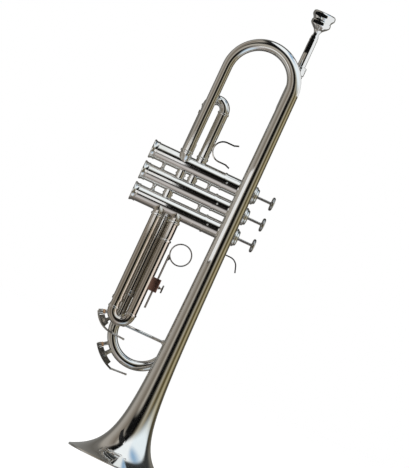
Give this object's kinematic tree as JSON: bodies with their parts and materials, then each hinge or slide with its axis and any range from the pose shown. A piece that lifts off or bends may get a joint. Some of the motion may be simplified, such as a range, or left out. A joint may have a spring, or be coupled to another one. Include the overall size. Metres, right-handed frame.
{
  "type": "trumpet",
  "caption": "Three-valve trumpet with sprung pistons, pull-out tuning, first, second and third slides, finger ring, thumb saddle, two water keys and a removable mouthpiece.",
  "frame": {"origin": "centre of the bell rim, on the plane that the instrument stands on", "axes": "+Z from the bell rim towards the mouthpiece along the bell's axis, +X towards the finger buttons, +Y towards the leadpipe's side"},
  "size_m": [0.1788, 0.137, 0.565],
  "materials": {
    "plate": "mirror-polished plate over brass",
    "casing_metal": "mirror-polished plate over nickel silver",
    "piston_metal": "lapped nickel alloy",
    "pearl": "polished pearl disc",
    "felt": "dense felt",
    "cork": "natural cork",
    "spring_steel": "drawn wire",
    "clamp_metal": "dark polished brown",
    "guide_brass": "machined brass"
  },
  "bodies": {
    "instrument": {"bell_flare": "plate", "bell_stem": "plate", "bell_rim_bead": "plate", "bell_bow": "plate", "bell_tail": "plate", "bell_braces": "plate", "valve_casing_1": "casing_metal", "valve_casing_2": "casing_metal", "valve_casing_3": "casing_metal", "valve_balusters": "casing_metal", "top_caps": "plate", "bottom_caps": "plate", "casing_braces": "plate", "valve_knuckles": "plate", "valve_guides": "guide_brass", "leadpipe": "plate", "mouthpiece_receiver": "plate", "tuning_upper_sleeve": "plate", "tuning_lower_sleeve": "plate", "third_inner_tube": "plate", "third_lower_sleeve": "plate", "first_inner_tube": "plate", "first_lower_sleeve": "plate", "second_sleeves": "plate", "pinky_hook": "plate"},
    "piston_1": {"piston_1": "piston_metal", "valve_stem_1": "plate", "button_pearl_1": "pearl", "stem_felt_1": "felt", "valve_spring_1": "spring_steel"},
    "piston_2": {"piston_2": "piston_metal", "valve_stem_2": "plate", "button_pearl_2": "pearl", "stem_felt_2": "felt", "valve_spring_2": "spring_steel"},
    "piston_3": {"piston_3": "piston_metal", "valve_stem_3": "plate", "button_pearl_3": "pearl", "stem_felt_3": "felt", "valve_spring_3": "spring_steel"},
    "tuning_slide": {"tuning_legs": "plate", "tuning_bow": "plate", "tuning_brace": "plate", "main_key_mount": "plate", "main_key_spring": "spring_steel"},
    "main_water_key": {"main_key_lever": "plate", "main_key_cork": "cork"},
    "third_slide": {"third_slide_tubes": "plate", "third_slide_bow": "plate", "ring_clamp": "clamp_metal", "third_key_mount": "plate", "third_key_spring": "spring_steel"},
    "third_water_key": {"third_key_lever": "plate", "third_key_cork": "cork"},
    "clamp_screw": {"clamp_screw": "plate"},
    "finger_ring": {"finger_ring": "plate"},
    "first_slide": {"first_slide": "plate", "thumb_saddle": "plate"},
    "second_slide": {"second_slide": "plate"},
    "mouthpiece": {"mouthpiece": "plate"}
  },
  "joints": [
    {"name": "piston_1_stroke", "type": "slide", "parent": "instrument", "child": "piston_1", "axis": [-1, 0, 0], "range_m": [0, 0.0155], "stiffness_N_per_m": 130, "springref_m": -0.022, "deforming": ["valve_spring_1"]},
    {"name": "piston_2_stroke", "type": "slide", "parent": "instrument", "child": "piston_2", "axis": [-1, 0, 0], "range_m": [0, 0.0155], "stiffness_N_per_m": 130, "springref_m": -0.022, "deforming": ["valve_spring_2"]},
    {"name": "piston_3_stroke", "type": "slide", "parent": "instrument", "child": "piston_3", "axis": [-1, 0, 0], "range_m": [0, 0.0155], "stiffness_N_per_m": 130, "springref_m": -0.022, "deforming": ["valve_spring_3"]},
    {"name": "tuning_slide_pull", "type": "slide", "parent": "instrument", "child": "tuning_slide", "axis": [0, 0, -1], "range_m": [-0.024, 0.03]},
    {"name": "first_slide_pull", "type": "slide", "parent": "instrument", "child": "first_slide", "axis": [0, 0, 1], "range_m": [0, 0.02]},
    {"name": "second_slide_pull", "type": "slide", "parent": "instrument", "child": "second_slide", "axis": [0, 1, 0], "range_m": [0, 0.014]},
    {"name": "third_slide_pull", "type": "slide", "parent": "instrument", "child": "third_slide", "axis": [0, 0, -1], "range_m": [0, 0.03]},
    {"name": "main_water_key_lift", "type": "hinge", "parent": "tuning_slide", "child": "main_water_key", "pos_m": [-0.06737, 0.02944, 0.10849], "axis": [0.1566, -0.9877, 0], "range_deg": [0, 8], "stiffness_Nm_per_rad": 0.05, "springref_deg": -28.65},
    {"name": "third_water_key_lift", "type": "hinge", "parent": "third_slide", "child": "third_water_key", "pos_m": [-0.08202, 0.01593, 0.14347], "axis": [0, -1, 0], "range_deg": [0, 14], "stiffness_Nm_per_rad": 0.05, "springref_deg": -28.65},
    {"name": "ring_rod_slide", "type": "slide", "parent": "third_slide", "child": "finger_ring", "axis": [0, 0, 1], "range_m": [-0.014, 0.014]},
    {"name": "clamp_screw_turn", "type": "hinge", "parent": "third_slide", "child": "clamp_screw", "pos_m": [-0.048, 0.01593, 0.2023], "axis": [1, 0, 0], "range_deg": [-180, 180]},
    {"name": "mouthpiece_pull", "type": "slide", "parent": "instrument", "child": "mouthpiece", "axis": [0, 0, 1], "range_m": [0, 0.026]}
  ]
}
